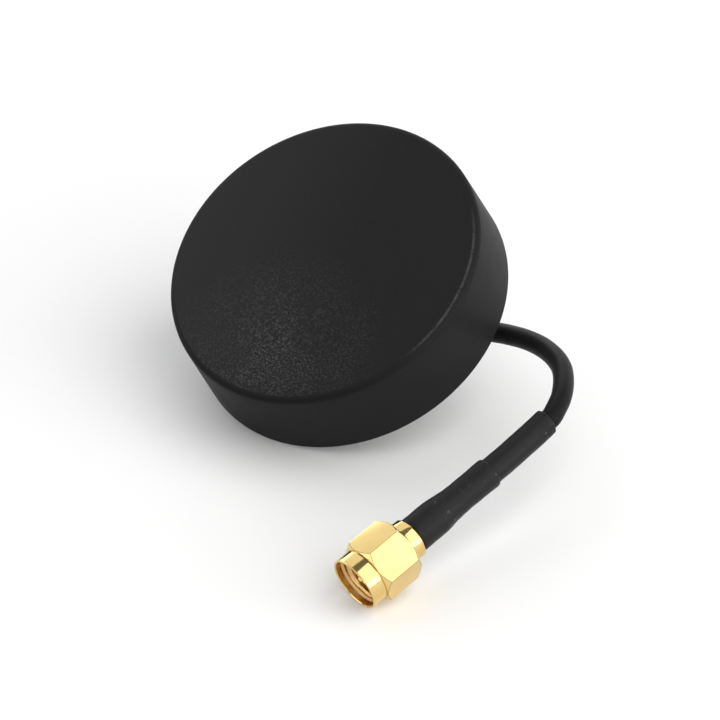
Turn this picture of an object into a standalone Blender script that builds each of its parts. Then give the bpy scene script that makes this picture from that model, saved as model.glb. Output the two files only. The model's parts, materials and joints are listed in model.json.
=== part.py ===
"""A small screw-mount GNSS antenna: a round black puck with a short coaxial pigtail and a threaded plug.

The puck leans on its rim and on the end of its hollow mounting stud, as it does when it is put down
loose on a table. The cable leaves through the slot in the stud, passes under the rim, turns back in
one arc and ends in a gold plug whose front edge rests on the table. The table is the plane Z = 0.
"""

import bpy
import bmesh
from math import ceil, cos, pi, radians, sin, tau
from mathutils import Euler, Vector

MM = 0.001
GAP = 0.3 * MM  # clearance kept between pieces that touch on the real object

# Puck housing, along the puck's own axis, with 0 at the lower rim
TILT = radians(31.0)
RIM_RADIUS = 22.5 * MM
TOP_RADIUS = 22.2 * MM
HEIGHT = 12.0 * MM
CROWN = 0.4 * MM
TOP_EDGE = 1.0 * MM
RIM_CHAMFER = 0.25 * MM
ROOF = 1.5 * MM
SKIRT_BORE = 20.9 * MM
LEDGE_BORE = 19.6 * MM
LEDGE_BOTTOM = 2.9 * MM
LEDGE_TOP = 4.0 * MM
UPPER_BORE = 20.6 * MM

# Base plate, its gasket, its pad and its screws
PLATE_BOTTOM = 0.3 * MM
PLATE_TOP = 1.8 * MM
PLATE_RADIUS = SKIRT_BORE - 0.4 * MM
FLANGE_POCKET = 0.9 * MM
PAD_THICKNESS = 0.7 * MM
PAD_BORE = 10.4 * MM
PAD_RADIUS = 20.2 * MM
SCREW_COUNT = 4
SCREW_CIRCLE = 16.6 * MM
SCREW_RADIUS = 0.95 * MM
SCREW_HEAD = 1.9 * MM
SCREW_END = 5.6 * MM
BOSS_RADIUS = 2.1 * MM
BOSS_PILOT_END = 6.6 * MM
SCREW_HEAD_HEIGHT = 0.7 * MM

# Mounting stud, M12 x 1, hollow and slotted on the side where the cable leaves
STUD_RADIUS = 6.0 * MM
STUD_CHAMFER = 0.5 * MM
STUD_BORE = 3.5 * MM
STUD_FLANGE = 9.0 * MM
STUD_FLANGE_THICKNESS = 0.8 * MM
SLOT_WIDTH = 3.6 * MM
SLOT_TOP = -4.4 * MM
SLOT_TURN = radians(26)
NUT_FLATS = 17.0 * MM
NUT_TOP = -1.7 * MM
NUT_THICKNESS = 2.5 * MM
WASHER_TOP = -0.8 * MM
WASHER_THICKNESS = 0.6 * MM
WASHER_RADIUS = 8.9 * MM

# Electronics
BOARD_SIDE = 28.0 * MM
BOARD_BOTTOM = 4.3 * MM
BOARD_TOP = 5.1 * MM
TAPE_SIDE = 24.0 * MM
TAPE_BOTTOM = 5.35 * MM
TAPE_TOP = 5.55 * MM
PATCH_SIDE = 25.0 * MM
PATCH_BOTTOM = 5.8 * MM
PATCH_TOP = 9.6 * MM
ELECTRODE_SIDE = 20.5 * MM
ELECTRODE_BOTTOM = 9.85 * MM
ELECTRODE_TOP = 10.0 * MM
FEED = Vector((1.5, 2.0, 0)) * MM
FEED_RADIUS = 0.45 * MM
FEED_HOLE = 0.8 * MM
CAN_SIZE = Vector((20.0, 9.0, 1.7)) * MM
CAN_Y = 8.5 * MM
CAN_WALL = 0.3 * MM
CHIP_HEIGHT = 0.7 * MM
CORE_HOLE = 0.65 * MM
FEED_HEAD = 1.0 * MM
FEED_HEAD_BOTTOM = 10.2 * MM
FEED_HEAD_TOP = 10.35 * MM

# Coaxial cable
CABLE_DIAMETER = 2.8 * MM
CABLE_BEND = 5.9 * MM
CABLE_TURN_Z = -1.2 * MM
BRAID_RADIUS = 0.95 * MM
BRAID_END = 2.8 * MM
CORE_RADIUS = 0.3 * MM
CORE_START = 3.1 * MM
ROUTE = [Vector(point) * MM for point in (
    (5.6, 8.9, 6.8), (8.5, 9.9, 7.6), (12.0, 10.7, 8.6), (15.6, 11.1, 9.7), (19.1, 11.0, 10.8),
    (22.0, 10.6, 11.7), (24.9, 9.9, 12.6), (27.8, 8.9, 13.4), (30.4, 7.7, 14.0), (32.7, 6.3, 14.5),
    (34.8, 4.7, 14.8), (36.5, 2.9, 14.9), (37.95, 0.95, 14.85), (39.1, -1.0, 14.7), (39.8, -2.8, 14.45),
)]

# Plug and sleeves, along the plug's own axis, with 0 at its front face and the cable at the far end
PLUG_HEADING = radians(9.1)
PLUG_DIP = radians(17.0)
PLUG_X = 35.4 * MM
PLUG_Y = -38.4 * MM
COLLAR_RADIUS = 3.8 * MM
COLLAR_LENGTH = 2.2 * MM
HEX_FLATS = 7.94 * MM
HEX_TURN = radians(18.5)
NUT_LENGTH = 8.15 * MM
THREAD_BORE = 3.2 * MM
THREAD_DEPTH = 5.4 * MM
WEB_BORE = 2.6 * MM
NUT_GROOVE_RADIUS = 3.1 * MM
GASKET_BORE = 2.62 * MM
GASKET_RADIUS = 2.95 * MM
GASKET_FRONT = 4.6 * MM
BARREL_RADIUS = 2.4 * MM
BARREL_FRONT = 1.9 * MM
RING_FRONT = 6.4 * MM
RING_BACK = 6.9 * MM
RING_GROOVE = 0.2 * MM
RING_BORE = 2.2 * MM
RING_RADIUS = 2.95 * MM
BODY_GROOVE_RADIUS = 2.1 * MM
SOCKET_BORE = 2.05 * MM
SOCKET_SEAT = 5.6 * MM
NECK_BORE = 1.5 * MM
NECK_END = 8.8 * MM
CORE_BORE = 0.9 * MM
INSULATOR_RADIUS = 1.8 * MM
INSULATOR_NECK = 1.2 * MM
INSULATOR_BORE = 0.75 * MM
PIN_RADIUS = 0.46 * MM
PIN_TIP_RADIUS = 0.2 * MM
PIN_TIP = 0.9 * MM
PIN_SHOULDER = 1.3 * MM
PIN_END = 9.0 * MM
FLANGE_RADIUS = 2.85 * MM
FLANGE_BACK = 10.0 * MM
STUB_RADIUS = 1.5 * MM
STUB_END = 14.3 * MM
FERRULE_BORE = 1.7 * MM
FERRULE_RADIUS = 2.0 * MM
FERRULE_END = 14.8 * MM
SLEEVE_TAPER_END = 17.5 * MM
SLEEVE_STEP = 24.1 * MM
SLEEVE_END = 34.9 * MM
SLEEVE_BOW = 0.45 * MM
OUTER_SLEEVE_RADIUS = 2.06 * MM
FERRULE_SLEEVE_RADIUS = 2.45 * MM
INNER_SLEEVE_RADIUS = 1.82 * MM
SLEEVE_CORE = 1.5 * MM

# Heights that follow from the dimensions above
BASE_HEIGHT = (RIM_RADIUS - RIM_CHAMFER) * sin(TILT)
STUD_LENGTH = (BASE_HEIGHT - (STUD_RADIUS - STUD_CHAMFER) * sin(TILT)) / cos(TILT)
LOW_REACH = (TOP_RADIUS - TOP_EDGE) * cos(TILT) + (HEIGHT - TOP_EDGE) * sin(TILT) + TOP_EDGE
HIGH_REACH = RIM_RADIUS * cos(TILT) - RIM_CHAMFER * sin(TILT)
PUCK_Y = (LOW_REACH - HIGH_REACH) / 2
PLUG_Z = COLLAR_RADIUS * cos(PLUG_DIP)


def material(name, colour, roughness, metallic=0.0):
    """A Principled material with one colour."""
    made = bpy.data.materials.new(name)
    made.use_nodes = True
    shader = made.node_tree.nodes["Principled BSDF"]
    shader.inputs["Base Color"].default_value = (*colour, 1)
    shader.inputs["Roughness"].default_value = roughness
    shader.inputs["Metallic"].default_value = metallic
    return made


def add_object(name, data, parent, surface):
    """Links a new part under its parent empty, in the part's own collection."""
    made = bpy.data.objects.new(name, data)
    parts.objects.link(made)
    made.parent = parent
    made.data.materials.append(surface)
    return made


def axis_empty(name, place, rotation, parent=None):
    made = bpy.data.objects.new(name, None)
    parts.objects.link(made)
    made.parent = parent
    made.location = place
    made.rotation_euler = rotation
    made.empty_display_size = 5 * MM
    return made


def arc(centre, radius, start, end, count):
    """Points (r, z) on an arc, with angles counted from +r towards +z, both ends included."""
    turns = [start + (end - start) * i / count for i in range(count + 1)]
    return [(centre[0] + radius * cos(a), centre[1] + radius * sin(a)) for a in turns]


def turned(name, profile, parent, surface, steps=48):
    """A solid of revolution about local Z. The profile (r, z) runs down the outer side first."""
    mesh = bpy.data.meshes.new(name)
    points = [(r, 0, z) for r, z in profile]
    edges = [(i, i + 1) for i in range(len(points) - 1)]
    if profile[0][0] > 0:
        edges.append((len(points) - 1, 0))
    mesh.from_pydata(points, edges, [])
    made = add_object(name, mesh, parent, surface)
    screw = made.modifiers.new("Turn", "SCREW")
    screw.axis = "Z"
    screw.steps = steps
    screw.render_steps = steps
    screw.use_merge_vertices = True
    screw.merge_threshold = 0.001 * MM
    return made


def tube(inner, outer, bottom, top):
    """The profile of a plain ring."""
    return [(outer, top), (outer, bottom), (inner, bottom), (inner, top)]


def rod(radius, bottom, top):
    """The profile of a plain solid cylinder."""
    return [(0, top), (radius, top), (radius, bottom), (0, bottom)]


def block(name, size, centre, parent, surface, corner=0.0):
    """A box with its upright edges bevelled by corner."""
    mesh = bpy.data.meshes.new(name)
    form = bmesh.new()
    bmesh.ops.create_cube(form, size=1)
    bmesh.ops.scale(form, vec=size, verts=form.verts)
    bmesh.ops.translate(form, vec=centre, verts=form.verts)
    if corner:
        upright = [e for e in form.edges if abs(e.verts[0].co.z - e.verts[1].co.z) > size[2] / 2]
        bmesh.ops.bevel(form, geom=upright, offset=corner, segments=3, profile=0.5, affect="EDGES")
    form.to_mesh(mesh)
    form.free()
    return add_object(name, mesh, parent, surface)


def hexagon(name, flats, bottom, top, turn, parent, surface):
    """A six-sided prism about local Z, turned by an angle."""
    mesh = bpy.data.meshes.new(name)
    form = bmesh.new()
    corner = flats / 2 / cos(pi / 6)
    height = top - bottom
    bmesh.ops.create_cone(form, cap_ends=True, segments=6, radius1=corner, radius2=corner, depth=height)
    bmesh.ops.translate(form, vec=(0, 0, (top + bottom) / 2), verts=form.verts)
    bmesh.ops.rotate(form, cent=(0, 0, 0), matrix=Euler((0, 0, turn)).to_matrix(), verts=form.verts)
    form.to_mesh(mesh)
    form.free()
    return add_object(name, mesh, parent, surface)


def wire(name, points, radius, parent, surface, radii=()):
    """A round wire through the points, with its own radius at each one if radii are given."""
    curve = bpy.data.curves.new(name, "CURVE")
    curve.dimensions = "3D"
    curve.bevel_depth = radius
    curve.bevel_resolution = 2
    curve.use_fill_caps = True
    line = curve.splines.new("POLY")
    line.points.add(len(points) - 1)
    for i, place in enumerate(points):
        line.points[i].co = (*place, 1)
        line.points[i].radius = radii[i] / radius if radii else 1
    return add_object(name, curve, parent, surface)


def combine(part, helper, operation="DIFFERENCE"):
    """Cuts, joins or intersects a part with a helper, which then moves to the hidden cutters."""
    change = part.modifiers.new(operation.title(), "BOOLEAN")
    change.operation = operation
    change.solver = "EXACT"
    change.object = helper
    parts.objects.unlink(helper)
    cutters.objects.link(helper)
    helper.hide_render = True
    helper.display_type = "WIRE"


def smooth_route(points, spacing):
    """Even points along a Catmull-Rom curve through the given points."""
    ends = [points[0] * 2 - points[1], *points, points[-1] * 2 - points[-2]]
    dense = []
    for a, b, c, d in zip(ends, ends[1:], ends[2:], ends[3:]):
        for i in range(20):
            t = i / 20
            curved = (c - a) * t + (a * 2 - b * 5 + c * 4 - d) * t**2 + (b * 3 - a - c * 3 + d) * t**3
            dense.append(b + curved / 2)
    dense.append(points[-1])
    steps = [(q - p).length for p, q in zip(dense, dense[1:])]
    count = ceil(sum(steps) / spacing)
    even = [dense[0]]
    gone = 0.0
    for place, step in zip(dense[1:], steps):
        gone += step
        if gone >= sum(steps) * len(even) / count - 1e-9:
            even.append(place)
    return even


def sleeve_point(distance):
    """The middle of the sleeves, this far behind the plug's front face: the inner one bows sideways."""
    past_step = max(0, distance - SLEEVE_STEP) / (SLEEVE_END - SLEEVE_STEP)
    local = Vector((-SLEEVE_BOW * past_step**2, 0, distance))
    return plug.location + plug.rotation_euler.to_matrix() @ local


def screw_places():
    turns = [tau * i / SCREW_COUNT for i in range(SCREW_COUNT)]
    return [Vector((cos(a), sin(a), 0)) * SCREW_CIRCLE for a in turns]


def shifted(part, place):
    part.location = place
    return part


def make_radome():
    """The cap: a shallow cup with a ledge for the gasket and four screw bosses."""
    crown = [(TOP_RADIUS * r, HEIGHT + CROWN * (1 - r * r)) for r in (0, 0.35, 0.7)]
    edge = arc((TOP_RADIUS - TOP_EDGE, HEIGHT - TOP_EDGE), TOP_EDGE, pi / 2, 0, 5)
    skirt = [(RIM_RADIUS, RIM_CHAMFER), (RIM_RADIUS - RIM_CHAMFER, 0), (SKIRT_BORE, 0)]
    ledge = [(SKIRT_BORE, LEDGE_BOTTOM), (LEDGE_BORE, LEDGE_BOTTOM), (LEDGE_BORE, LEDGE_TOP)]
    ceiling = [(UPPER_BORE, LEDGE_TOP), (UPPER_BORE, HEIGHT - ROOF), (0, HEIGHT - ROOF + CROWN)]
    radome = turned("radome", crown + edge + skirt + ledge + ceiling, puck, black_plastic, 72)
    pilot = SCREW_RADIUS + GAP
    outline = [
        (0, HEIGHT - ROOF / 2), (BOSS_RADIUS, HEIGHT - ROOF / 2), (BOSS_RADIUS, PLATE_TOP + GAP),
        (pilot, PLATE_TOP + GAP), (pilot, BOSS_PILOT_END), (0, BOSS_PILOT_END),
    ]
    for i, place in enumerate(screw_places()):
        boss = turned(f"boss_{i}", outline, puck, black_plastic, 16)
        combine(radome, shifted(boss, place), "UNION")


def make_base():
    """The base plate with its face gasket, its foam pad and the screws that hold it to the cap."""
    outline = [
        (PLATE_RADIUS, PLATE_TOP), (PLATE_RADIUS, PLATE_BOTTOM),
        (STUD_RADIUS + GAP, PLATE_BOTTOM), (STUD_RADIUS + GAP, FLANGE_POCKET),
        (STUD_FLANGE + GAP, FLANGE_POCKET), (STUD_FLANGE + GAP, PLATE_TOP),
    ]
    plate = turned("base_plate", outline, puck, black_plastic, 64)
    head_top = PLATE_BOTTOM + SCREW_HEAD_HEIGHT
    shank_hole = SCREW_RADIUS + GAP
    head_hole = SCREW_HEAD + GAP
    hole_outline = [
        (0, 4 * MM), (shank_hole, 4 * MM), (shank_hole, head_top + GAP), (head_hole, head_top + GAP),
        (head_hole, -MM), (0, -MM),
    ]
    screw_outline = [
        (0, SCREW_END), (SCREW_RADIUS, SCREW_END), (SCREW_RADIUS, head_top),
        (SCREW_HEAD, head_top), (SCREW_HEAD, PLATE_BOTTOM), (0, PLATE_BOTTOM),
    ]
    for i, place in enumerate(screw_places()):
        combine(plate, shifted(turned(f"hole_{i}", hole_outline, puck, black_plastic, 16), place))
        shifted(turned(f"base_screw_{i + 1}", screw_outline, puck, zinc, 16), place)
    gasket_bottom = PLATE_TOP + GAP
    gasket = tube(LEDGE_BORE + 0.1 * MM, SKIRT_BORE - GAP, gasket_bottom, LEDGE_BOTTOM - GAP)
    turned("seal_ring", gasket, puck, seal_rubber, 64)
    turned("foam_pad", tube(PAD_BORE, PAD_RADIUS, -PAD_THICKNESS, 0), puck, foam, 64)


def make_stud():
    """The hollow stud, with its flange inside the housing and its cable slot, and its washer and nut."""
    flange_bottom = FLANGE_POCKET + GAP
    flange_top = flange_bottom + STUD_FLANGE_THICKNESS
    outline = [
        (STUD_FLANGE, flange_top), (STUD_FLANGE, flange_bottom), (STUD_RADIUS, flange_bottom),
        (STUD_RADIUS, STUD_CHAMFER - STUD_LENGTH), (STUD_RADIUS - STUD_CHAMFER, -STUD_LENGTH),
        (STUD_BORE, -STUD_LENGTH), (STUD_BORE, flange_top),
    ]
    stud = turned("mounting_stud", outline, puck, zinc, 48)
    reach = 10 * MM
    slot = block("slot", (reach, SLOT_WIDTH, reach), (reach / 2, 0, SLOT_TOP - reach / 2), puck, zinc)
    slot.rotation_euler = (0, 0, SLOT_TURN)
    combine(stud, slot)
    washer = tube(STUD_RADIUS + GAP, WASHER_RADIUS, WASHER_TOP - WASHER_THICKNESS, WASHER_TOP)
    turned("lock_washer", washer, stud_nut, zinc, 48)
    nut_bottom = NUT_TOP - NUT_THICKNESS
    nut = hexagon("mounting_nut", NUT_FLATS, nut_bottom, NUT_TOP, 0, stud_nut, zinc)
    combine(nut, turned("nut_bore", rod(STUD_RADIUS + GAP, nut_bottom - MM, NUT_TOP + MM), stud_nut, zinc))


def plate_between(name, side, bottom, top, surface, corner=0.0):
    """A square plate centred on the puck's axis."""
    return block(name, (side, side, top - bottom), (0, 0, (top + bottom) / 2), puck, surface, corner)


def make_electronics():
    """The board with its shielded amplifier below and the ceramic patch above."""
    board = plate_between("circuit_board", BOARD_SIDE, BOARD_BOTTOM, BOARD_TOP, board_green, 3 * MM)
    tape = plate_between("patch_tape", TAPE_SIDE, TAPE_BOTTOM, TAPE_TOP, tape_white)
    patch = plate_between("patch_ceramic", PATCH_SIDE, PATCH_BOTTOM, PATCH_TOP, ceramic, 0.4 * MM)
    foil = plate_between("patch_electrode", ELECTRODE_SIDE, ELECTRODE_BOTTOM, ELECTRODE_TOP, silver, MM)
    for i, plate in enumerate((board, tape, patch, foil)):
        hole = turned(f"feed_hole_{i}", rod(FEED_HOLE, 3 * MM, 11 * MM), puck, silver, 16)
        combine(plate, shifted(hole, FEED))
    combine(board, turned("core_hole", rod(CORE_HOLE, 3 * MM, 6 * MM), puck, silver, 16))
    pin = [
        (0, FEED_HEAD_TOP), (FEED_HEAD, FEED_HEAD_TOP), (FEED_HEAD, FEED_HEAD_BOTTOM),
        (FEED_RADIUS, FEED_HEAD_BOTTOM), (FEED_RADIUS, BOARD_BOTTOM - GAP), (0, BOARD_BOTTOM - GAP),
    ]
    shifted(turned("patch_feed_pin", pin, puck, silver, 16), FEED)
    can_middle = BOARD_BOTTOM - GAP - CAN_SIZE.z / 2
    can = block("shield_can", CAN_SIZE, (0, CAN_Y, can_middle), puck, tinplate)
    room = CAN_SIZE - Vector((2 * CAN_WALL, 2 * CAN_WALL, 0))
    combine(can, block("can_room", room, (0, CAN_Y, can_middle + CAN_WALL), puck, tinplate))
    chip_middle = can_middle + 0.3 * MM
    block("lna_chip", (2 * MM, 2 * MM, CHIP_HEIGHT), (-4 * MM, CAN_Y, chip_middle), puck, chip_black)
    block("saw_filter", (3 * MM, 3 * MM, CHIP_HEIGHT), (3 * MM, CAN_Y, chip_middle), puck, chip_black)


def make_cable():
    """The fixed end of the cable inside the stud, and the free cable from the slot to the plug."""
    radius = CABLE_DIAMETER / 2
    across = Vector((cos(SLOT_TURN), sin(SLOT_TURN), 0))
    inside = [Vector((0, 0, PLATE_TOP)), Vector((0, 0, 0))]
    for i in range(9):
        turn = pi / 2 * i / 8
        drop = Vector((0, 0, CABLE_TURN_Z - CABLE_BEND * sin(turn)))
        inside.append(across * CABLE_BEND * (1 - cos(turn)) + drop)
    wire("coax_inner_run", inside, radius, puck, cable_black)
    turned("coax_braid_end", rod(BRAID_RADIUS, PLATE_TOP + GAP, BRAID_END), puck, tinplate, 16)
    turned("coax_core_end", rod(CORE_RADIUS, CORE_START, BOARD_TOP - 0.2 * MM), puck, silver, 12)
    free = smooth_route([*ROUTE, sleeve_point(SLEEVE_END + MM)], 1.5 * CABLE_DIAMETER)
    wire("coax_cable", [*free, sleeve_point(SLEEVE_END + GAP)], radius, None, cable_black)


def make_sleeves():
    """The two heat-shrink sleeves and the crimp ferrule under the outer one."""
    lip = SLEEVE_STEP + GAP
    places = [FERRULE_END + 0.5 * MM, lip - 0.05 * MM]
    places += [lip + (SLEEVE_END - lip) * i / 4 for i in range(5)]
    radii = [SLEEVE_CORE] * 2 + [INNER_SLEEVE_RADIUS] * 5
    wire("inner_sleeve", [sleeve_point(d) for d in places], INNER_SLEEVE_RADIUS, None, sleeve_black, radii)
    sleeve_front = FLANGE_BACK + GAP
    step = FERRULE_END + GAP
    core_bore = SLEEVE_CORE + GAP
    ferrule_bore = FERRULE_SLEEVE_RADIUS - GAP
    outer = [
        (OUTER_SLEEVE_RADIUS, SLEEVE_STEP), (OUTER_SLEEVE_RADIUS, SLEEVE_TAPER_END),
        (FERRULE_SLEEVE_RADIUS, FERRULE_END), (FERRULE_SLEEVE_RADIUS, sleeve_front),
        (ferrule_bore, sleeve_front), (ferrule_bore, step), (core_bore, step), (core_bore, SLEEVE_STEP),
    ]
    turned("outer_sleeve", outer, plug, sleeve_black, 32)
    ferrule = tube(FERRULE_BORE, FERRULE_RADIUS, sleeve_front, FERRULE_END)
    turned("crimp_ferrule", ferrule, plug, gold, 32)


def make_body():
    """The plug's body with its insulator and pin, and the snap ring that holds the coupling nut."""
    groove_back = RING_BACK + RING_GROOVE
    groove_front = RING_FRONT - RING_GROOVE
    body = [
        (STUB_RADIUS, STUB_END), (STUB_RADIUS, FLANGE_BACK), (FLANGE_RADIUS, FLANGE_BACK),
        (FLANGE_RADIUS, NUT_LENGTH + GAP), (BARREL_RADIUS, NUT_LENGTH + GAP),
        (BARREL_RADIUS, groove_back), (BODY_GROOVE_RADIUS, groove_back),
        (BODY_GROOVE_RADIUS, groove_front), (BARREL_RADIUS, groove_front), (BARREL_RADIUS, BARREL_FRONT),
        (SOCKET_BORE, BARREL_FRONT), (SOCKET_BORE, SOCKET_SEAT), (NECK_BORE, SOCKET_SEAT),
        (NECK_BORE, NECK_END), (CORE_BORE, NECK_END), (CORE_BORE, STUB_END),
    ]
    turned("connector_body", body, plug, gold)
    neck_end = NECK_END - GAP
    seat = SOCKET_SEAT - GAP
    front = BARREL_FRONT + GAP
    insulator = [
        (INSULATOR_NECK, neck_end), (INSULATOR_NECK, seat), (INSULATOR_RADIUS, seat),
        (INSULATOR_RADIUS, front), (INSULATOR_BORE, front), (INSULATOR_BORE, neck_end),
    ]
    turned("ptfe_insulator", insulator, plug, ptfe, 32)
    pin = [
        (0, PIN_END), (PIN_RADIUS, PIN_END), (PIN_RADIUS, PIN_SHOULDER), (PIN_TIP_RADIUS, PIN_TIP),
        (0, PIN_TIP),
    ]
    turned("centre_pin", pin, plug, gold, 16)
    ring = turned("snap_ring", tube(RING_BORE, RING_RADIUS, RING_FRONT, RING_BACK), plug, spring_bronze, 32)
    combine(ring, block("ring_gap", (4 * MM, MM, 2 * MM), (3 * MM, 0, RING_FRONT), plug, spring_bronze))


def make_coupling_nut():
    """The hexagonal nut with its round front collar, and the gasket at the bottom of its thread."""
    nut = hexagon("coupling_nut", HEX_FLATS, COLLAR_LENGTH, NUT_LENGTH, HEX_TURN, plug, gold)
    corner = HEX_FLATS / 2 / cos(pi / 6)
    ease = corner - HEX_FLATS / 2
    clear = corner + 0.1 * MM
    envelope = [
        (0, NUT_LENGTH), (corner - ease, NUT_LENGTH), (clear, NUT_LENGTH - ease),
        (clear, COLLAR_LENGTH + ease), (corner - ease, COLLAR_LENGTH), (0, COLLAR_LENGTH),
    ]
    combine(nut, turned("nut_envelope", envelope, plug, gold), "INTERSECT")
    combine(nut, turned("nut_collar", rod(COLLAR_RADIUS, 0, COLLAR_LENGTH + MM), plug, gold), "UNION")
    groove_back = RING_BACK + RING_GROOVE
    groove_front = RING_FRONT - RING_GROOVE
    bore = [
        (0, NUT_LENGTH + MM), (WEB_BORE, NUT_LENGTH + MM), (WEB_BORE, groove_back),
        (NUT_GROOVE_RADIUS, groove_back), (NUT_GROOVE_RADIUS, groove_front), (WEB_BORE, groove_front),
        (WEB_BORE, THREAD_DEPTH), (THREAD_BORE, THREAD_DEPTH), (THREAD_BORE, -MM), (0, -MM),
    ]
    combine(nut, turned("nut_inside", bore, plug, gold))
    gasket = tube(GASKET_BORE, GASKET_RADIUS, GASKET_FRONT, THREAD_DEPTH - GAP)
    turned("nut_gasket", gasket, plug, gasket_red, 32)


def finish_shading():
    """Applies the modifiers of the meshes and shades their round faces smooth."""
    bpy.context.view_layer.update()
    graph = bpy.context.evaluated_depsgraph_get()
    meshes = [part for part in parts.objects if part.type == "MESH"]
    applied = [bpy.data.meshes.new_from_object(part.evaluated_get(graph)) for part in meshes]
    for part, mesh in zip(meshes, applied):
        part.modifiers.clear()
        part.data = mesh
        mesh.shade_smooth()
        mesh.set_sharp_from_angle(angle=radians(35))


for old in list(bpy.data.objects):
    bpy.data.objects.remove(old)
parts = bpy.data.collections.new("gnss_antenna")
cutters = bpy.data.collections.new("cutters")
bpy.context.scene.collection.children.link(parts)
bpy.context.scene.collection.children.link(cutters)

black_plastic = material("black_plastic", (0.022, 0.022, 0.023), 0.62)
foam = material("foam", (0.012, 0.012, 0.012), 0.95)
seal_rubber = material("seal_rubber", (0.02, 0.02, 0.02), 0.7)
cable_black = material("cable_black", (0.018, 0.018, 0.019), 0.45)
sleeve_black = material("sleeve_black", (0.016, 0.016, 0.017), 0.5)
zinc = material("zinc", (0.62, 0.62, 0.6), 0.35, 1)
gold = material("gold", (0.95, 0.68, 0.25), 0.22, 1)
gasket_red = material("gasket_red", (0.4, 0.04, 0.02), 0.5)
spring_bronze = material("spring_bronze", (0.6, 0.4, 0.2), 0.35, 1)
ptfe = material("ptfe", (0.85, 0.84, 0.8), 0.4)
tinplate = material("tinplate", (0.7, 0.7, 0.7), 0.3, 1)
silver = material("silver", (0.85, 0.85, 0.83), 0.3, 1)
board_green = material("board_green", (0.02, 0.12, 0.05), 0.4)
tape_white = material("tape_white", (0.7, 0.7, 0.65), 0.7)
ceramic = material("ceramic", (0.55, 0.5, 0.42), 0.6)
chip_black = material("chip_black", (0.02, 0.02, 0.02), 0.5)

puck = axis_empty("puck_axis", (0, PUCK_Y, BASE_HEIGHT), (TILT, 0, 0))
stud_nut = axis_empty("stud_nut_axis", (0, 0, 0), (0, 0, 0), puck)
plug = axis_empty("plug_axis", (PLUG_X, PLUG_Y, PLUG_Z), (PLUG_DIP - pi / 2, 0, -PLUG_HEADING))

make_radome()
make_base()
make_stud()
make_electronics()
make_cable()
make_sleeves()
make_body()
make_coupling_nut()
finish_shading()
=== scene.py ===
import json
from math import atan2, ceil, cos, degrees, hypot, pi, radians, sin, tau

import bpy
from mathutils import Matrix, Vector, noise


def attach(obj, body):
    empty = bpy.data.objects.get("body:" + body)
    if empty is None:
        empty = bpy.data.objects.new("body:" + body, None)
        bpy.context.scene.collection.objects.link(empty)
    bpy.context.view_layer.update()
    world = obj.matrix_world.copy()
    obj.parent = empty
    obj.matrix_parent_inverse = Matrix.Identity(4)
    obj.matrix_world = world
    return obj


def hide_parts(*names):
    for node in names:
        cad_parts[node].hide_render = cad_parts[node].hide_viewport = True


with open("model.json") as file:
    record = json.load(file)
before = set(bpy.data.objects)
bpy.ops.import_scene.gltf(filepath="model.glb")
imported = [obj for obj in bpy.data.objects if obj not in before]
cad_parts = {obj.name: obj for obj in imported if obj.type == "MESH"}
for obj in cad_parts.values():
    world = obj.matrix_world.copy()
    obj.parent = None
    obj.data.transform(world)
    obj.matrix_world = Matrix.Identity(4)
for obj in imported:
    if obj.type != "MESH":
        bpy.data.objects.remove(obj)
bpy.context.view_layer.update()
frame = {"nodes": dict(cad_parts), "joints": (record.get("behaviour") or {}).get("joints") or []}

mm = 0.001
joints = {joint["name"]: joint for joint in frame["joints"]}


# places and measures that come from the frame

def axisPlace(jointName, flip=1):
    # a place on a joint's axis, with its z along the axis and its x level
    along = Vector(joints[jointName]["axis"]).normalized()
    level = along.cross(Vector((0, 0, 1))).normalized()
    along *= flip
    turn = Matrix((level, along.cross(level), along)).transposed()
    return Matrix.Translation(joints[jointName]["pos_m"]) @ turn.to_4x4()


def reachOf(node, place):
    # a node's widest radius about an axis, and its lowest and highest point along it, in mm
    inwards = place.inverted()
    points = [inwards @ vertex.co / mm for vertex in frame["nodes"][node].data.vertices]
    return max(p.xy.length for p in points), min(p.z for p in points), max(p.z for p in points)


puckPlace = axisPlace("stud_nut_spin", -1)
plugPlace = axisPlace("coupling_nut_spin")
rimRadius, rimLow, crownTop = reachOf("radome", puckPlace)
print("places:", [round(value, 2) for value in (rimRadius, rimLow, crownTop)])


# camera, lights and floor

camera = {
    "target": (-0.00159, 0.00638, 0.0), "azimuth": 40.3, "elevation": 33.0, "distance": 0.6,
    "lens": 216.0, "sensor": 36.0,
}
lights = {
    # name: azimuth and elevation seen from the object, distance, width, height, watts, colour
    "keyPanel": (95, 40, 0.6, 0.9, 0.94, 5.15, (1.0, 0.995, 0.985)),
    "fillPanel": (-112, 42, 0.6, 0.9, 0.9, 2.3, (0.985, 0.992, 1.0)),
}
# brightness of the room by height: a dark foot, a bright band of wall and a dim ceiling
surroundings = [(0.0, 0.12), (0.05, 0.12), (0.08, 1.7), (0.36, 1.7), (0.45, 0.2)]


def directionOf(azimuth, elevation):
    a, e = radians(azimuth), radians(elevation)
    return Vector((sin(a) * cos(e), -cos(a) * cos(e), sin(e)))


def makeCamera():
    data = bpy.data.cameras.new("mainCamera")
    data.lens = camera["lens"]
    data.sensor_width = camera["sensor"]
    data.clip_start, data.clip_end = 0.01, 10
    made = bpy.data.objects.new("mainCamera", data)
    bpy.context.scene.collection.objects.link(made)
    aim = directionOf(camera["azimuth"], camera["elevation"])
    made.location = Vector(camera["target"]) + aim * camera["distance"]
    made.rotation_euler = (pi / 2 - radians(camera["elevation"]), 0, radians(camera["azimuth"]))
    bpy.context.scene.camera = made


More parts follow.
